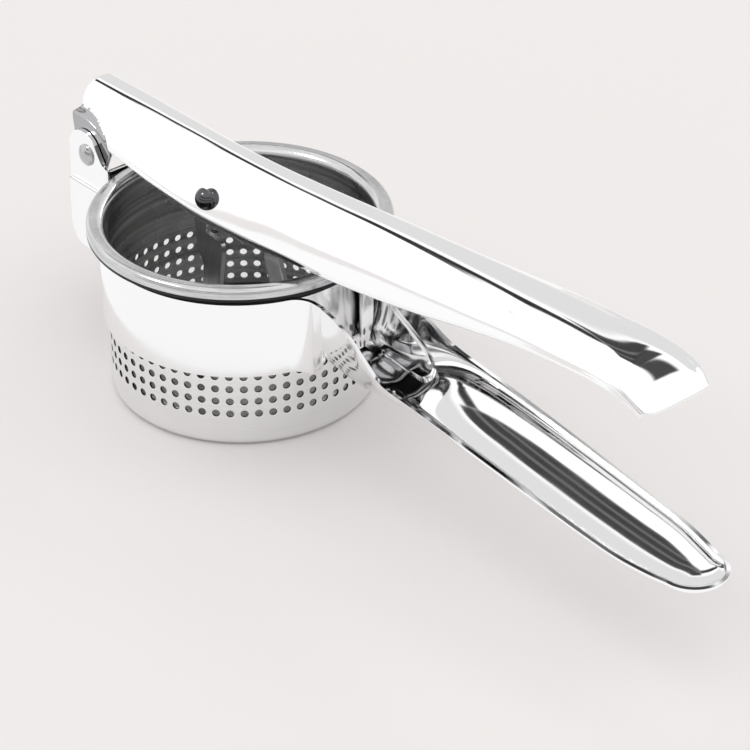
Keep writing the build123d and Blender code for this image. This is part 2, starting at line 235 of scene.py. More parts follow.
def thicken(ob, thickness, bevel, offset=-1.0, segments=3):
    """Sheet to solid, with rounded cut edges."""
    so = ob.modifiers.new("sheet", "SOLIDIFY")
    so.thickness = thickness * MM
    so.offset = offset
    so.use_even_offset = True
    so.use_quality_normals = True
    apply_modifiers(ob)
    round_edges(ob, bevel, segments)


def round_edges(ob, width, segments):
    bv = ob.modifiers.new("edge", "BEVEL")
    bv.width = width * MM
    bv.segments = segments
    bv.limit_method = "ANGLE"
    bv.angle_limit = math.radians(BEVEL_ANGLE)
    bv.use_clamp_overlap = True
    bv.harden_normals = False
    apply_modifiers(ob)
    shade_smooth(ob.data)
    wn = ob.modifiers.new("normals", "WEIGHTED_NORMAL")
    wn.keep_sharp = True
    wn.weight = 80
    apply_modifiers(ob)


def lathe(name, profile, steps=128, centre=(0, 0, 0), axis="Z"):
    """Closed profile of (radius, height) turned about an axis."""
    verts, cols = [], len(profile)
    for i in range(steps):
        a = 2 * math.pi * i / steps
        for r, h in profile:
            if axis == "Z":
                verts.append((centre[0] + r * math.cos(a), centre[1] + r * math.sin(a), centre[2] + h))
            else:
                verts.append((centre[0] + r * math.cos(a), centre[1] + h, centre[2] + r * math.sin(a)))
    faces = []
    for i in range(steps):
        k = (i + 1) % steps
        for j in range(cols):
            m = (j + 1) % cols
            if profile[j][0] < 1e-6 and profile[m][0] < 1e-6:
                continue
            faces.append((i * cols + j, k * cols + j, k * cols + m, i * cols + m))
    return new_object(name, verts, faces)


def join(name, parts):
    """One object from several meshes."""
    bm = bmesh.new()
    for p in parts:
        bm.from_mesh(p.data)
    me = bpy.data.meshes.new(name)
    bm.to_mesh(me)
    bm.free()
    for p in parts:
        bpy.data.objects.remove(p)
    ob = bpy.data.objects.new(name, me)
    bpy.context.scene.collection.objects.link(ob)
    shade_smooth(me)
    return ob


# ---------------------------------------------------------------- materials

def material(name, color, rough, bump, streak=0.0):
    """Polished or brushed stainless steel.

    bump: (scale along x, y, z, strength) of the fine lines; streak: how much they darken the colour.
    """
    m = bpy.data.materials.new(name)
    m.use_nodes = True
    nt = m.node_tree
    bsdf = nt.nodes["Principled BSDF"]
    bsdf.inputs["Metallic"].default_value = 1.0
    bsdf.inputs["Base Color"].default_value = (*color, 1)
    bsdf.inputs["Roughness"].default_value = rough
    coord = nt.nodes.new("ShaderNodeTexCoord")
    # handling marks: soft patches that change the roughness a little
    patch = nt.nodes.new("ShaderNodeTexNoise")
    patch.inputs["Scale"].default_value = 60.0
    patch.inputs["Detail"].default_value = 4.0
    nt.links.new(coord.outputs["Object"], patch.inputs["Vector"])
    ramp = nt.nodes.new("ShaderNodeMapRange")
    ramp.inputs["From Min"].default_value = 0.35
    ramp.inputs["From Max"].default_value = 0.75
    ramp.inputs["To Min"].default_value = rough * 0.8
    ramp.inputs["To Max"].default_value = rough * 1.35 + 0.01
    nt.links.new(patch.outputs["Fac"], ramp.inputs["Value"])
    nt.links.new(ramp.outputs["Result"], bsdf.inputs["Roughness"])
    mapping = nt.nodes.new("ShaderNodeMapping")
    mapping.inputs["Scale"].default_value = bump[:3]
    nt.links.new(coord.outputs["Object"], mapping.inputs["Vector"])
    lines = nt.nodes.new("ShaderNodeTexNoise")
    lines.inputs["Scale"].default_value = 1.0
    lines.inputs["Detail"].default_value = 5.0
    lines.inputs["Roughness"].default_value = 0.65
    nt.links.new(mapping.outputs["Vector"], lines.inputs["Vector"])
    relief = nt.nodes.new("ShaderNodeBump")
    relief.inputs["Strength"].default_value = bump[3]
    relief.inputs["Distance"].default_value = 0.0002
    nt.links.new(lines.outputs["Fac"], relief.inputs["Height"])
    nt.links.new(relief.outputs["Normal"], bsdf.inputs["Normal"])
    if streak:
        tint = nt.nodes.new("ShaderNodeValToRGB")
        tint.color_ramp.elements[0].position = 0.30
        tint.color_ramp.elements[1].position = 0.70
        tint.color_ramp.elements[0].color = (*[c * (1 - streak) for c in color], 1)
        tint.color_ramp.elements[1].color = (*color, 1)
        nt.links.new(lines.outputs["Fac"], tint.inputs["Fac"])
        nt.links.new(tint.outputs["Color"], bsdf.inputs["Base Color"])
    return m


MIRROR = material("mirror_steel", (0.93, 0.93, 0.935), 0.045, bump=(90, 320, 320, 0.015))
BAND = material("band_steel", (0.93, 0.93, 0.935), 0.11, bump=(60, 60, 900, 0.03))
CUP = material("cup_steel", (0.90, 0.90, 0.905), 0.16, bump=(50, 50, 1600, 0.10), streak=0.06)
# painted shade: a darker copy of the cup's steel for the inside of the cup; its streaks are brushing marks
CUP_IN = material("cup_inside_painted_shade", (0.68, 0.68, 0.68), 0.28, bump=(9, 9, 420, 0.60), streak=0.72)
# painted shade: a darker copy of the steel for the rim; its lines are brushing marks
RIM = material("rim_painted_shade_steel", (0.70, 0.70, 0.71), 0.17, bump=(60, 60, 900, 0.12), streak=0.35)
# painted shade: near black steel standing in for shade and dark reflections in the cup's holes, the groove
# under the rim, the lip's lower edge and the straps' cut edges
PAINTED_SHADE = material("painted_shade_steel", (0.035, 0.035, 0.037), 0.45, bump=(50, 50, 1200, 0.10))
# painted shade: darker steel on the pivot rivet's domes
RIVET = material("rivet_steel", (0.48, 0.48, 0.49), 0.10, bump=(300, 300, 300, 0.02))
# painted reflection: near black steel on the plunger rivet, standing in for the dark surroundings its domes
# reflect
RIVET_DARK = material("plunger_rivet_painted_reflection", (0.10, 0.10, 0.105), 0.12, bump=(300, 300, 300, 0.02))
CHANNEL = material("channel_steel", (0.93, 0.93, 0.935), 0.06, bump=(90, 320, 320, 0.012))
# painted shade: a darker copy of the steel for the pivot lugs under the lever
LUG = material("lug_painted_shade_steel", (0.42, 0.42, 0.43), 0.16, bump=(200, 200, 200, 0.05))
YOKE = material("yoke_steel", (0.70, 0.70, 0.70), 0.22, bump=(700, 700, 60, 0.12), streak=0.15)
PLATE = material("plate_steel", (0.78, 0.78, 0.78), 0.22, bump=(350, 350, 350, 0.10), streak=0.10)


def dress(ob, mat, body, node):
    """Give a piece its steel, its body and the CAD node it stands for."""
    ob.data.materials.clear()
    ob.data.materials.append(mat)
    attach(ob, body)
    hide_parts(node)
    return ob


# ---------------------------------------------------------------- upper handle

def arch_points(x, inset=0.0):
    """Dense outline of the lever's arch at station x, near lower edge to far lower edge: (y, z)."""
    w, zb, zt, c, full = smooth(LEVER, x)
    w -= inset
    zt -= inset
    h = zt - zb
    knee_y = c + (w - c) * full
    knee_z = zb + h * (0.50 + 0.10 * (full - 0.62) / 0.18)
    half = [(w, zb), (w - 0.10 * (w - knee_y), zb + 0.22 * (knee_z - zb)), (knee_y, knee_z),
            (c + 0.32 * (w - c), zt - 0.20 * h), (c * 0.80, zt - 0.035 * h), (0, zt)]
    pts = [(-y, z) for y, z in half] + [(y, z) for y, z in reversed(half[:-1])]
    return catmull(pts, 14)


def step_z(x):
    """Height of the lever wall's lower edge where it is relieved over the lugs."""
    if x >= STEP[-1][0]:
        return None
    if x <= STEP[0][0]:
        return STEP[0][1]
    for (xa, za), (xb, zb) in zip(STEP_FINE, STEP_FINE[1:]):
        if xa <= x <= xb:
            return za + (zb - za) * (x - xa) / (xb - xa)
    return STEP[-1][1]


STEP_FINE = catmull(STEP, 8)


def lever_sheet():
    """Arched sheet of the upper handle, with stations closest where its lower edge is relieved."""
    xs = []
    x = LEVER[0][0]
    for end, pitch in ((-52.0, 1.0), (-47.9, 0.3), (160.0, 2.5), (183.1, 1.2)):
        while x < end:
            xs.append(x)
            x += pitch
    xs.append(LEVER[-1][0])
    cols = 73
    verts = []
    for x in xs:
        pts = arch_points(x)
        z_cut = step_z(x)
        if z_cut is not None:
            low = smooth(LEVER, x)[1]
            z_cut = max(z_cut, low)
            mid = len(pts) // 2
            near = [p for p in pts[:mid + 1] if p[1] >= z_cut]
            a = pts[:mid + 1][-len(near) - 1] if len(near) <= mid else near[0]
            b = near[0]
            if b[1] > z_cut and a != b:
                t = (z_cut - a[1]) / (b[1] - a[1])
                near = [(a[0] + (b[0] - a[0]) * t, z_cut)] + near
            pts = near + [(-y, z) for y, z in reversed(near[:-1])]
        for y, z in resample(pts, cols):
            # the free end is slightly rounded in plan
            pull = 0.0
            if x > 172:
                pull = -4.5 * ((x - 172) / 11.2) ** 2 * (abs(y) / 13.5) ** 5
            verts.append((x + pull, y, z))
    return new_object("lever_arch", verts, grid_faces(len(xs), cols))


def orient_outward(ob, centre):
    """Face normals away from a centre line given as a function of the face centre."""
    bm = bmesh.new()
    bm.from_mesh(ob.data)
    bm.normal_update()
    total = 0.0
    for f in bm.faces:
        c = f.calc_center_median()
        total += f.normal.dot(c - centre(c)) * f.calc_area()
    if total < 0:
        bmesh.ops.reverse_faces(bm, faces=bm.faces)
    bm.to_mesh(ob.data)
    bm.free()


lever = lever_sheet()
orient_outward(lever, lambda c: Vector((c.x, 0, 0.060)))
# no bore is cut for the plunger rivet, because its heads would hide it
thicken(lever, LEVER_T, bevel=0.30)
dress(lever, MIRROR, "lever", "upper_handle")


def lug_sheet(side):
    """Set out pivot lug: a ledge along the relief, rolled over into a flat cheek."""
    count = 49
    top = resample(STEP_FINE, count)
    outline = [(-66.4, 66.6), (-65.6, 62.0)]
    for k in range(0, 13):
        a = math.radians(186 + k * 13.0)
        outline.append((PIVOT_X + LUG_R * math.cos(a), PIVOT_Z + LUG_R * math.sin(a)))
    outline.append((-49.6, 58.2))
    bottom = resample(outline, count)
    verts = []
    for (x, z), (bx, bz) in zip(top, bottom):
        pts = [p for p in arch_points(x, LEVER_T * 0.5) if p[0] < 0]
        yw = min(pts, key=lambda p: abs(p[1] - z))[0]
        out = -LUG_Y
        line = [(yw, x, z + 0.9), (yw - 0.25, x, z + 0.25), (yw * 0.5 + out * 0.5, x, z - 0.05),
                (out + 0.45, x, z - 0.3), (out + 0.12, x, z - 0.65), (out, x, z - 1.2)]
        for t in (0.15, 0.3, 0.5, 0.75, 1.0):
            line.append((out, x + (bx - x) * t, (z - 1.2) + (bz - (z - 1.2)) * t))
        for y, px, pz in line:
            verts.append((px, y if side < 0 else -y, pz))
    ob = new_object("lug_" + ("near" if side < 0 else "far"), verts, grid_faces(count, 11))
    orient_outward(ob, lambda c: Vector((c.x, 0, c.z - 0.004)))
    so = ob.modifiers.new("sheet", "SOLIDIFY")
    so.thickness = LUG_SHEET_T * MM
    so.offset = -1.0
    apply_modifiers(ob)
    shade_smooth(ob.data)
    dress(ob, LUG, "lever", "upper_handle")


for side in (-1, 1):
    lug_sheet(side)


# ---------------------------------------------------------------- lower handle

def trough_row(x, cols):
    """Channel section at x: points from near edge, under, to far edge."""
    w, ze, depth, p = smooth(TROUGH, x)
    out = []
    for j in range(cols):
        a = math.pi * j / (cols - 1)
        c, s = math.cos(a), math.sin(a)
        y = -w * math.copysign(abs(c) ** (2 / p), c)
        z = ze - depth * abs(s) ** (2 / p)
        out.append((x, y, z))
    return out


def trough_sheet():
    """Channel of the lower handle, closed by a rounded tip."""
    cols = 73
    rows = []
    end = TROUGH[-1][0]
    x = TROUGH[0][0]
    while x < end - 0.5:
        rows.append(trough_row(x, cols))
        x += 1.6
    w, ze, depth, _ = smooth(TROUGH, end)
    n = 26
    for i in range(n + 1):
        a = 0.5 * math.pi * i / n
        k = max(math.cos(a), 0.0)
        row = []
        for j in range(cols):
            b = math.pi * j / (cols - 1)
            c, s = math.cos(b), math.sin(b)
            row.append((end + TIP_R * math.sin(a), -w * k * c, ze - depth * k * s))
        rows.append(row)
    verts = [v for r in rows for v in r]
    ob = new_object("channel_handle", verts, grid_faces(len(rows), cols))
    orient_outward(ob, lambda c: Vector((c.x, 0, 0.060)))
    thicken(ob, TROUGH_T, bevel=0.32)
    dress(ob, CHANNEL, "frame", "lower_handle")


trough_sheet()


# ---------------------------------------------------------------- strap halves

def strap_path():
    """Middle line in plan of one strap half, from the rear arm's end to the neck: (x, y) with y < 0."""
    r_mid = STRAP_R + STRAP_T / 2
    ya = ARM_Y - STRAP_T / 2
    fr = FILLET + STRAP_T / 2
    pts = []
    # rear: arm along y = -ya, fillet outside the circle, centre at (cx, -(ya + fr))
    cy = ya + fr
    cx = -math.sqrt((r_mid + fr) ** 2 - cy ** 2)
    x = ARM_X
    while x < cx - 0.01:
        pts.append((x, -ya))
        x += 2.0
    # arc round the fillet centre from straight up to the touching point with the circle
    a_end = math.atan2(cy, -cx)        # direction from fillet centre to cup centre (y up)
    n = 14
    for i in range(n + 1):
        a = math.radians(90) + (a_end - math.radians(90)) * i / n
        pts.append((cx + fr * math.cos(a), -cy + fr * math.sin(a)))
    # ring
    a0 = math.atan2(-cy, cx)           # touching point seen from the cup centre
    yn = NECK_Y - STRAP_T / 2
    cyf = yn + fr
    cxf = math.sqrt((r_mid + fr) ** 2 - cyf ** 2)
    a1 = math.atan2(-cyf, cxf)
    n = 100
    a0 = a0 if a0 < 0 else a0 - 2 * math.pi
    for i in range(1, n + 1):
        a = a0 + (a1 - a0) * i / n
        pts.append((r_mid * math.cos(a), r_mid * math.sin(a)))
    n = 18
    a_start = math.atan2(cyf, -cxf)
    for i in range(1, n + 1):
        a = a_start + (math.radians(90) - a_start) * i / n
        pts.append((cxf + fr * math.cos(a), -cyf + fr * math.sin(a)))
    x = cxf
    while x < NECK_X - 0.01:
        x = min(x + 0.7, NECK_X)
        pts.append((x, -yn))
    return pts


def strap_low(x):
    """Lower edge height of the strap at station x."""
    z = lerp([(44.4, 25.4), (45, 25.6), (48, 28.6), (49.8, 32.0)], x)
    if x < ARM_X + 6:
        d = (ARM_X + 6 - x) / 6.0
        z = STRAP_Z0 + 6 * (1 - math.sqrt(max(0.0, 1 - d * d)))
    return z


def paint_reflection_on_cut_edges(ob):
    """Painted dark reflection: near black steel on the rounded part of the upper cut edge, between its flat
    top and the wall.
    """
    ob.data.materials.append(PAINTED_SHADE)
    lo, hi = STRAP_EDGE_NORMAL
    for p in ob.data.polygons:
        if lo < p.normal.z < hi:
            p.material_index = 1


def strap_sheet(side):
    """Band of one strap half: rear arm, half ring round the cup and neck."""
    path = strap_path()
    cols = 15
    verts = []
    for x, y in path:
        z0, z1 = strap_low(x), lerp([(-47, ARM_TOP_Z), (-42, STRAP_Z1)], x)
        for j in range(cols):
            verts.append((x, y * -side, z0 + (z1 - z0) * j / (cols - 1)))
    ob = new_object("strap_band_" + ("near" if side < 0 else "far"), verts, grid_faces(len(path), cols))
    thicken(ob, STRAP_T, bevel=0.30, offset=0.0)
    dress(ob, BAND, "frame", "strap_near" if side < 0 else "strap_far")
    paint_reflection_on_cut_edges(ob)


def trough_y(x, z, inset):
    """Half width of the channel's inner wall at height z."""
    w, ze, depth, p = smooth(TROUGH, x)
    w -= inset
    depth -= inset
    u = min(1.0, max(0.0, (ze - z) / depth))
    return w * (1 - u ** p) ** (1 / p)


def tongue_sheet(side):
    """Round ended tongue of the strap, lying on the inner wall of the channel."""
    top = catmull([(50.2, 49.0), (54.5, 47.6), (58.5, 43.8), (62.2, 41.2),
                   (67.5, 37.9), (72.5, 35.2), (76.3, 33.4), (77.4, 32.6)], 8)
    low = catmull([(50.2, 33.4), (56.0, 31.6), (62.0, 30.9), (68.0, 30.6),
                   (73.0, 31.0), (76.4, 31.7), (77.4, 32.6)], 8)
    n = 40
    top, low = resample(top, n), resample(low, n)
    cols = 13
    verts = []
    for (xt, zt), (xl, zl) in zip(top, low):
        for j in range(cols):
            t = j / (cols - 1)
            x, z = xl + (xt - xl) * t, zl + (zt - zl) * t
            y = trough_y(x, z, TROUGH_T + TONGUE_GAP)
            verts.append((x, side * y, z))
    ob = new_object("strap_tongue_" + ("near" if side < 0 else "far"), verts, grid_faces(n, cols))
    orient_outward(ob, lambda c: Vector((c.x, 0, 0.050)))
    thicken(ob, TONGUE_T, bevel=0.28)
    dress(ob, MIRROR, "frame", "strap_near" if side < 0 else "strap_far")


for side in (-1, 1):
    strap_sheet(side)
    tongue_sheet(side)


# ---------------------------------------------------------------- hinge bracket

def bracket():
    """U bracket: web next to the cup, two round topped ears."""
    yo = ARM_Y - STRAP_T
    left = EAR_X - EAR_R
    mid_y = yo - EAR_T / 2
    mid_x = WEB_X + EAR_T / 2
    z0 = STRAP_Z0 + 3
    r = 1.6
    path = []
    arc = [left + EAR_R * (1 - math.cos(math.pi * i / 24)) for i in range(20)]
    xs = [x for x in arc if x < -53.8] + [-53.8, -53.0, -52.2, -51.6]
    for x in xs:
        path.append((x, -mid_y))
    n = 8
    for i in range(n + 1):
        a = math.radians(-90 + 90 * i / n)
        path.append((mid_x - r + r * math.cos(a), -mid_y + r + r * math.sin(a)))
    y = -mid_y + r + 1.0
    while y < mid_y - r - 0.5:
        path.append((mid_x, y))
        y += 1.5
    for i in range(n + 1):
        a = math.radians(90 * i / n)
        path.append((mid_x - r + r * math.cos(a), mid_y - r + r * math.sin(a)))
    for x in reversed(xs):
        path.append((x, mid_y))
    cols = 25
    verts = []
    for x, y in path:
        if x <= -53.8:
            d = min(1.0, abs(x - EAR_X) / EAR_R)
            top = EAR_Z + EAR_R * math.sqrt(max(0.0, 1 - d * d))
        else:
            top = lerp([(-53.8, 62.3), (-50.6, 57.4), (mid_x, WEB_TOP_Z)], x)
        for j in range(cols):
            verts.append((x, y, z0 + (top - z0) * j / (cols - 1)))
    ob = new_object("ear_bracket", verts, grid_faces(len(path), cols))
    thicken(ob, EAR_T, bevel=0.30, offset=0.0)
    dress(ob, BAND, "frame", "hinge_bracket")


bracket()


# ---------------------------------------------------------------- rivets

def rivet(name, x, z, half, head_h, collar, body, node, mat):
    """Shank with a round head on both ends, along Y."""
    r, pr = HEAD_R, PIN_R
    # radius of the ball that the head is cut from
    ball = (r * r + head_h * head_h) / (2 * head_h)
    half_angle = math.asin(min(1.0, r / ball)) if head_h <= r else math.pi - math.asin(r / ball)
    cap = []
    for i in range(15):
        a = half_angle * (1 - i / 14)
        cap.append((ball * math.sin(a), half + collar + head_h - ball + ball * math.cos(a)))
    cap[-1] = (0.0, half + collar + head_h)
    side = [(pr, half - 1.0), (pr, half), (r - 0.15, half), (r, half + 0.15)] + cap
    prof = [(0.0, 0.0), (pr, 0.0)] + side
    up = lathe(name + "_a", prof, steps=64, centre=(x, 0, z), axis="Y")
    down = lathe(name + "_b", [(a, -b) for a, b in prof], steps=64, centre=(x, 0, z), axis="Y")
    ob = join(name, [up, down])
    bm = bmesh.new()
    bm.from_mesh(ob.data)
    bmesh.ops.remove_doubles(bm, verts=bm.verts, dist=1e-6)
    inner = [f for f in bm.faces if all(abs(v.co.y) < 1e-6 for v in f.verts)]
    bmesh.ops.delete(bm, geom=inner, context="FACES")
    bmesh.ops.recalc_face_normals(bm, faces=bm.faces)
    bm.to_mesh(ob.data)
    bm.free()
    dress(ob, mat, body, node)


rivet("pivot_rivet", PIVOT_X, PIVOT_Z, ARM_Y - STRAP_T, 1.4, 0.4, "frame", "pivot_pin", RIVET)
rivet("plunger_rivet", LINK_X, LINK_Z, 11.2, 2.7, 0.5, "lever", "plunger_pin", RIVET_DARK)


# ---------------------------------------------------------------- cup

def cup_radius(z):
    """Outer radius of the slightly tapered wall at height z."""
    return CUP_R_BASE + (CUP_R_TOP - CUP_R_BASE) * z / CUP_H


def cup_wall():
    """Perforated band of the wall: one square cell with a round hole per perforation."""
    verts, faces = [], []
    ring = 16
    half_z = HOLE_ROW_PITCH / 2
    half_a = math.pi / HOLE_COLUMNS

    def put(a, z):
        r = cup_radius(z)
        verts.append((r * math.cos(a), r * math.sin(a), z))
        return len(verts) - 1

    for row in range(HOLE_ROWS):
        zc = HOLE_FIRST_Z + row * HOLE_ROW_PITCH
        for col in range(HOLE_COLUMNS):
            ac = math.radians(HOLE_TURN) + col * 2 * math.pi / HOLE_COLUMNS
            outer, inner = [], []
            for i in range(ring):
                t = 2 * math.pi * i / ring
                c, s = math.cos(t), math.sin(t)
                k = 1 / max(abs(c), abs(s))
                outer.append(put(ac + half_a * c * k, zc + half_z * s * k))
                r = HOLE_D / 2
                inner.append(put(ac + r * c / CUP_R_BASE, zc + r * s))
            for i in range(ring):
                j = (i + 1) % ring
                faces.append((outer[i], outer[j], inner[j], inner[i]))
    return verts, faces


def cup_shell():
    """Cup in one sheet: rounded corner, perforated band, plain wall, flare, rim and turned down lip."""
    verts, faces = cup_wall()
    z_lo = HOLE_FIRST_Z - HOLE_ROW_PITCH / 2
    z_hi = HOLE_FIRST_Z + (HOLE_ROWS - 0.5) * HOLE_ROW_PITCH
    angles = []
    half_a = math.pi / HOLE_COLUMNS
    for col in range(HOLE_COLUMNS):
        ac = math.radians(HOLE_TURN) + col * 2 * math.pi / HOLE_COLUMNS
        for f in (-1.0, -math.tan(math.pi / 8), 0.0, math.tan(math.pi / 8)):
            angles.append(ac + half_a * f)
    cols = len(angles)

    def band(profile):
        base = len(verts)
        for r, z in profile:
            for a in angles:
                verts.append((r * math.cos(a), r * math.sin(a), z))
        faces.extend(grid_faces(len(profile), cols, True, base))

    # corner and plain lower wall
    c = CUP_CORNER
    low = [(CUP_R_BASE - c - 1.5, 0.0)]
    for i in range(9):
        a = math.radians(-90 + 90 * i / 8)
        low.append((CUP_R_BASE - c + c * math.cos(a), c + c * math.sin(a)))
    for i in range(1, 7):
        z = c + (z_lo - c) * i / 6
        low.append((cup_radius(z), z))
    band(low)
    # plain upper wall, flare, rim and lip, all on the outer face of the sheet
    neck = CUP_H - 2.4
    up = []
    for i in range(15):
        z = z_hi + (neck - 0.8 - z_hi) * i / 14
        up.append((cup_radius(z), z))
    rn = cup_radius(neck)
    fr = 2.2
    for i in range(1, 9):
        a = math.radians(180 - 90 * i / 8)
        up.append((rn + fr + fr * math.cos(a), neck - 0.8 + 2.4 * math.sin(a)))
    up.append((RIM_R - 0.8 - 1.2, CUP_H - 0.8))
    for i in range(1, 7):
        a = math.radians(90 - 90 * i / 6)
        up.append((RIM_R - 0.8 - 0.9 + 0.9 * math.cos(a), CUP_H - 0.8 - 0.9 + 0.9 * math.sin(a)))
    up.append((RIM_R - 0.8, CUP_H - 3.0))
    up.append((RIM_R - 0.8, RIM_LIP_Z))
    band(up)
    ob = new_object("cup_shell", verts, faces)
    # the sheet thickens away from this outer face, so its normals have to point outward
    bm = bmesh.new()
    bm.from_mesh(ob.data)
    bm.normal_update()
    test = min(bm.faces, key=lambda f: abs(f.calc_center_median().z - 0.04))
    cc = test.calc_center_median()
    if test.normal.dot(Vector((cc.x, cc.y, 0))) < 0:
        bmesh.ops.reverse_faces(bm, faces=bm.faces)
    bm.to_mesh(ob.data)
    bm.free()
    thicken(ob, CUP_WALL, bevel=0.16, segments=2)
    return ob


def cup_base():
    """Perforated disc of the base."""
    r = CUP_R_BASE - CUP_CORNER - 1.0
    disc = lathe("base_disc", [(0, 0), (r, 0), (r, CUP_WALL), (0, CUP_WALL)], steps=96)
    bm = bmesh.new()
    for ring in range(1, BASE_RINGS + 1):
        count = 6 * ring
        for i in range(count):
            a = 2 * math.pi * i / count
            out = ring * BASE_PITCH
            place = Matrix.Translation((out * math.cos(a) * MM, out * math.sin(a) * MM, CUP_WALL / 2 * MM))
            bmesh.ops.create_cone(bm, cap_ends=True, segments=16, radius1=HOLE_D / 2 * MM,
                                  radius2=HOLE_D / 2 * MM, depth=5 * CUP_WALL * MM, matrix=place)
    me = bpy.data.meshes.new("drills")
    bm.to_mesh(me)
    bm.free()
    drills = bpy.data.objects.new("drills", me)
    bpy.context.scene.collection.objects.link(drills)
    bo = disc.modifiers.new("holes", "BOOLEAN")
    bo.operation = "DIFFERENCE"
    bo.solver = "EXACT"
    bo.object = drills
    apply_modifiers(disc)
    bpy.data.objects.remove(drills)
    for p in disc.data.polygons:
        p.use_smooth = False
    return disc


shell = cup_shell()
base = cup_base()
shell.data.materials.clear()
for steel in (CUP, CUP_IN, PAINTED_SHADE, RIM):
    shell.data.materials.append(steel)
for p in shell.data.polygons:
    z = p.center.z / MM
    rad = math.hypot(p.center.x, p.center.y) / MM
    # how far the face looks away from the cup's axis, times its distance from it
    facing = (p.normal.x * p.center.x + p.normal.y * p.center.y) / MM
    inside_wall = facing < 0 and rad < cup_radius(z) - 0.35 and z < INSIDE_TOP_Z
    hole_wall = abs(facing) < 0.5 * rad and HOLE_WALL_Z[0] < z < HOLE_WALL_Z[1]
    groove = facing >= 0 and GROOVE_Z[0] < z < GROOVE_Z[1] and rad < cup_radius(z) + 1.0
    lip_edge = z < LIP_TOP_Z and rad > RIM_R - 2.5
    # painted shade: darker steel inside the cup, near black steel on the hole walls, in the groove under the
    # rim and on the lip's lower edge, darker steel on the rim
    if inside_wall:
        p.material_index = 1
    elif hole_wall or groove or lip_edge:
        p.material_index = 2
    elif z > RIM_FROM_Z:
        p.material_index = 3
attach(shell, "cup")
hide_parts("basket")
dress(base, PLATE, "cup", "basket")


# ---------------------------------------------------------------- plunger

# (height, outer half spread). Above 54 it is up to 0.7 less than the CAD's, which keeps the arms
# clear of the lever's walls when it is fully open.
YOKE_SPREAD = [(8.1, 17.6), (12.0, 17.2), (28.0, 14.3), (36.0, 12.6), (54.0, 10.4),
               (56.0, 10.3), (62.0, 9.2), (67.0, 7.6), (71.4, 5.1)]
YOKE_BEND_Z = 3.2


def yoke_side(z):
    """Outer half spread of the yoke's legs at height z."""
    return lerp(YOKE_SPREAD, z)


def yoke_leg(side):
    """Splayed leg with a rounded shoulder, running up into an arm with the eye for the rivet."""
    z0 = PLATE_Z + PLATE_T
    half = (YOKE_X1 - YOKE_X0) / 2
    mid = (YOKE_X1 + YOKE_X0) / 2
    # outline as left and right edges at rising heights
    z = z0 + YOKE_BEND_Z
    rows = []
    while z < LINK_Z + YOKE_EYE_R:
        rows.append(z)
        z += 0.55
    rows.append(LINK_Z + YOKE_EYE_R - 0.02)
    verts = []
    cols = 13
    for z in rows:
        xl = lerp([(42.0, YOKE_X0), (46.0, -6.6), (55.0, -9.0), (LINK_Z, LINK_X - YOKE_EYE_R)], z)
        if z > LINK_Z:
            xl = LINK_X - math.sqrt(max(0.0, YOKE_EYE_R ** 2 - (z - LINK_Z) ** 2))
        if z <= YOKE_TOP_Z - half:
            xr = YOKE_X1
        elif z < 52.6:
            xr = mid + math.sqrt(max(0.0, half ** 2 - (z - YOKE_TOP_Z + half) ** 2))
        elif z < 55.0:
            xr = YOKE_X0
        else:
            xr = lerp([(55.0, YOKE_X0), (LINK_Z - 3.3, LINK_X + 4.4)], z)
            if z > LINK_Z - 3.3:
                xr = LINK_X + math.sqrt(max(0.0, YOKE_EYE_R ** 2 - (z - LINK_Z) ** 2))
        y = yoke_side(z)
        for j in range(cols):
            verts.append((xl + (xr - xl) * j / (cols - 1), side * y, z))
    ob = new_object("leg", verts, grid_faces(len(rows), cols))
    orient_outward(ob, lambda c: Vector((c.x, 0, c.z)))
    thicken(ob, YOKE_T, bevel=0.25, segments=2)
    return ob


def yoke_web():
    """Foot of the yoke: both bends and the strip on the press plate."""
    z0 = PLATE_Z + PLATE_T
    y1 = yoke_side(z0 + YOKE_BEND_Z)
    bend = 2.9
    line = [(-y1, z0 + YOKE_BEND_Z)]
    for i in range(0, 9):
        a = math.radians(180 + 90 * i / 8)
        line.append((-y1 + bend + bend * math.cos(a), z0 + bend + 0.02 + bend * math.sin(a)))
    full = line + [(-y1 + bend + (2 * y1 - 2 * bend) * i / 12, z0 + 0.02) for i in range(1, 12)]
    full += [(-y, z) for y, z in reversed(line)]
    cols = 5
    verts = []
    for y, z in full:
        for j in range(cols):
            verts.append((YOKE_X0 + (YOKE_X1 - YOKE_X0) * j / (cols - 1), y, z))
    ob = new_object("foot", verts, grid_faces(len(full), cols))
    orient_outward(ob, lambda c: Vector((c.x, 0, 0.035)))
    thicken(ob, YOKE_T, bevel=0.25, segments=2)
    return ob


def yoke():
    """Whole yoke: both legs and the foot between them."""
    ob = join("yoke_strap", [yoke_leg(-1), yoke_leg(1), yoke_web()])
    dress(ob, YOKE, "plunger", "plunger_yoke")


def press_plate():
    """Round plate with a turned up edge."""
    r, t, z = PLATE_R, PLATE_T, PLATE_Z
    top = z + PLATE_LIP
    prof = [(0, z), (r - 1.8, z), (r - 0.9, z + 0.25), (r - 0.25, z + 0.9), (r, z + 1.8),
            (r, top - 0.2), (r - 0.2, top), (r - t + 0.2, top), (r - t, top - 0.2),
            (r - t, z + 2.2), (r - t - 0.25, z + 1.55), (r - t - 0.9, z + t), (0, z + t)]
    ob = lathe("press_disc", prof)
    dress(ob, PLATE, "plunger", "press_plate")


yoke()
press_plate()


# ---------------------------------------------------------------- floor, light, camera

def matt_paper(name, color):
    m = bpy.data.materials.new(name)
    m.use_nodes = True
    b = m.node_tree.nodes["Principled BSDF"]
    b.inputs["Base Color"].default_value = (*color, 1)
    b.inputs["Roughness"].default_value = 0.9
    b.inputs["Specular IOR Level"].default_value = 0.0
    return m


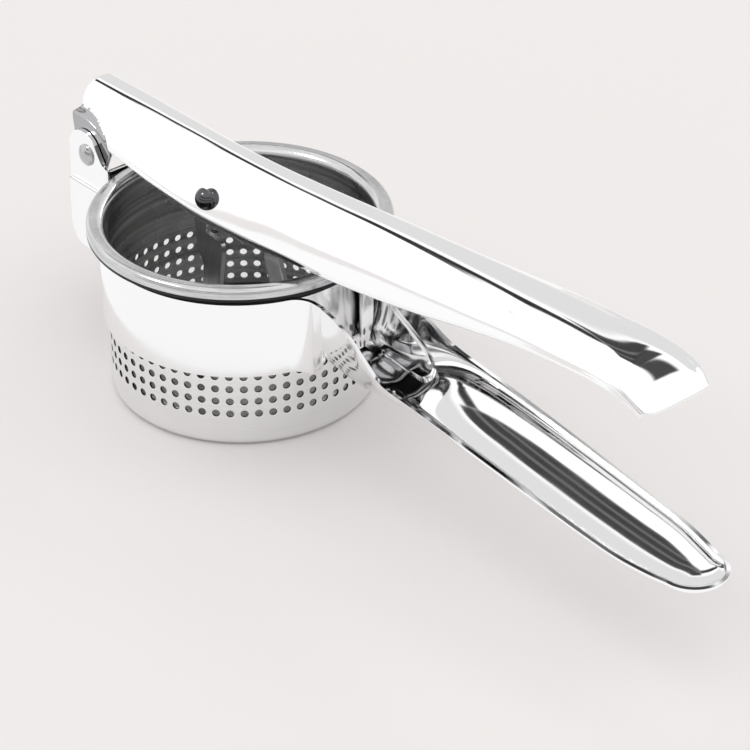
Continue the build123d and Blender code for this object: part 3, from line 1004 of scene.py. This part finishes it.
FLOOR_HALF = 4
floor_corners = [(FLOOR_HALF * i, FLOOR_HALF * j, 0) for i, j in ((-1, -1), (1, -1), (1, 1), (-1, 1))]
floor_mesh = bpy.data.meshes.new("floor")
floor_mesh.from_pydata(floor_corners, [], [(0, 1, 2, 3)])
floor = bpy.data.objects.new("floor", floor_mesh)
bpy.context.scene.collection.objects.link(floor)
floor.data.materials.append(matt_paper("floor_paper", (0.865, 0.838, 0.830)))

world = bpy.data.worlds.new("studio")
bpy.context.scene.world = world
world.use_nodes = True
sky = world.node_tree
bg = sky.nodes["Background"]


def sky_math(op, a, b=None):
    """Output of a math node in the world, with numbers or other outputs as its inputs."""
    n = sky.nodes.new("ShaderNodeMath")
    n.operation = op
    for i, v in enumerate((a, b)):
        if v is None:
            continue
        if isinstance(v, (int, float)):
            n.inputs[i].default_value = v
        else:
            sky.links.new(v, n.inputs[i])
    return n.outputs[0]


def sky_step(value, lo, hi):
    """Smooth rise from 0 at lo to 1 at hi."""
    n = sky.nodes.new("ShaderNodeMapRange")
    n.interpolation_type = "SMOOTHSTEP"
    n.inputs["From Min"].default_value = lo
    n.inputs["From Max"].default_value = hi
    sky.links.new(value, n.inputs["Value"])
    return n.outputs["Result"]


sky_coord = sky.nodes.new("ShaderNodeTexCoord")
sky_xyz = sky.nodes.new("ShaderNodeSeparateXYZ")
sky.links.new(sky_coord.outputs["Generated"], sky_xyz.inputs[0])
DEGREES = 57.29578
elevation = sky_math("MULTIPLY", sky_math("ARCSINE", sky_xyz.outputs[2]), DEGREES)
toward_front = sky_math("MULTIPLY", sky_xyz.outputs[1], -1.0)
azimuth = sky_math("MULTIPLY", sky_math("ARCTAN2", sky_xyz.outputs[0], toward_front), DEGREES)


def window(value, lo, hi, soft):
    """1 between lo and hi, falling to 0 over soft."""
    return sky_math("MULTIPLY", sky_step(value, lo - soft, lo + soft),
                    sky_math("SUBTRACT", 1.0, sky_step(value, hi - soft, hi + soft)))


# Dark flags and grey screens round the table, as directions in degrees, azimuth 0 toward -Y and 90 toward +X.
# They stay put in the world, but were placed for what the steel reflects toward this scene's camera only.
# (azimuth from, to, softness, elevation from, to, softness, brightness)
SCREENS = [
    (-185.0, -100.0, 5.0, -95.0, 34.0, 2.5, 0.67),
    (-147.0, -129.0, 1.5, 36.5, 54.5, 0.8, 0.16),
    (-147.0, -129.0, 1.5, 36.5, 42.6, 0.6, 0.30),
    (-147.0, -129.0, 1.5, 44.4, 48.4, 0.6, 0.30),
    (-147.0, -129.0, 1.5, 49.8, 54.5, 0.6, 0.30),
    (-106.0, -91.0, 1.5, 38.6, 44.0, 0.7, 0.03),
    (-129.0, -104.0, 2.0, 39.8, 46.0, 0.9, 0.03),
    (-158.0, -146.0, 1.5, 41.0, 55.0, 1.2, 0.06),
    (-185.0, -157.0, 2.0, 48.0, 55.0, 1.5, 0.06),
    (172.0, 185.0, 3.0, 48.0, 55.0, 1.5, 0.06),
    (-28.0, 170.0, 8.0, -95.0, 13.0, 6.0, 0.42),
    (-24.0, 150.0, 6.0, 24.0, 34.0, 3.0, 0.18),
]
SKY_LEVEL = 1.18
level = None
for a0, a1, sa, e0, e1, se, bright in SCREENS:
    inside = sky_math("MULTIPLY", window(azimuth, a0, a1, sa), window(elevation, e0, e1, se))
    keep = sky_math("SUBTRACT", 1.0, sky_math("MULTIPLY", inside, 1.0 - bright))
    level = keep if level is None else sky_math("MULTIPLY", level, keep)
sky.links.new(sky_math("MULTIPLY", level, SKY_LEVEL), bg.inputs["Strength"])
bg.inputs["Color"].default_value = (1.0, 0.998, 0.996, 1)


def reflector(name, verts, faces, power):
    """White board that only reflections see: it lights no matt surface and the camera doesn't show it."""
    me = bpy.data.meshes.new(name)
    me.from_pydata(verts, [], faces)
    ob = bpy.data.objects.new(name, me)
    m = bpy.data.materials.new(name)
    m.use_nodes = True
    nt = m.node_tree
    em = nt.nodes.new("ShaderNodeEmission")
    em.inputs["Strength"].default_value = power
    nt.links.new(em.outputs[0], nt.nodes["Material Output"].inputs["Surface"])
    ob.data.materials.append(m)
    bpy.context.scene.collection.objects.link(ob)
    ob.visible_camera = False
    ob.visible_diffuse = False
    ob.visible_shadow = False
    ob.visible_transmission = False
    return ob


def card(name, loc, aim, size, power):
    """Rectangular reflector at loc, facing aim."""
    w, h = size[0] / 2, size[1] / 2
    ob = reflector(name, [(-w, -h, 0), (w, -h, 0), (w, h, 0), (-w, h, 0)], [(0, 1, 2, 3)], power)
    ob.location = loc
    ob.rotation_euler = (Vector(aim) - Vector(loc)).to_track_quat("-Z", "Y").to_euler()


def ring_card(name, r_in, r_out, power):
    """Ring of white card lying just above the table round the cup."""
    steps, height = 96, 0.0004
    verts, faces = [], []
    for i in range(steps):
        a = 2 * math.pi * i / steps
        verts.append((r_in * math.cos(a), r_in * math.sin(a), height))
        verts.append((r_out * math.cos(a), r_out * math.sin(a), height))
        j = 2 * ((i + 1) % steps)
        faces.append((2 * i, 2 * i + 1, j + 1, j))
    reflector(name, verts, faces, power)


ring_card("bounce_ring", 0.084, 0.33, 1.0)
card("bounce_left", (-0.67, -0.62, 0.0003), (-0.67, -0.62, -1.0), (1.00, 0.90), 1.05)
card("rivet_glint", (-0.28, -0.48, 0.776), (0.0, -0.015, 0.065), (0.20, 0.20), 12.0)

cam_data = bpy.data.cameras.new("camera")
cam_data.sensor_width = 36.0
cam_data.lens = 157.07
cam_data.clip_start = 0.05
cam = bpy.data.objects.new("camera", cam_data)
cam_loc = Vector((0.66979, -0.52577, 0.53616))
cam_aim = Vector((0.06294, -0.00175, 0.030))
look = (cam_aim - cam_loc).to_track_quat("-Z", "Y").to_matrix()
roll = Matrix.Rotation(math.radians(-0.4402), 3, "Z")
cam.matrix_world = Matrix.Translation(cam_loc) @ (look @ roll).to_4x4()
bpy.context.scene.collection.objects.link(cam)
bpy.context.scene.camera = cam
bpy.context.scene.view_settings.view_transform = "Standard"
bpy.context.scene.view_settings.look = "None"
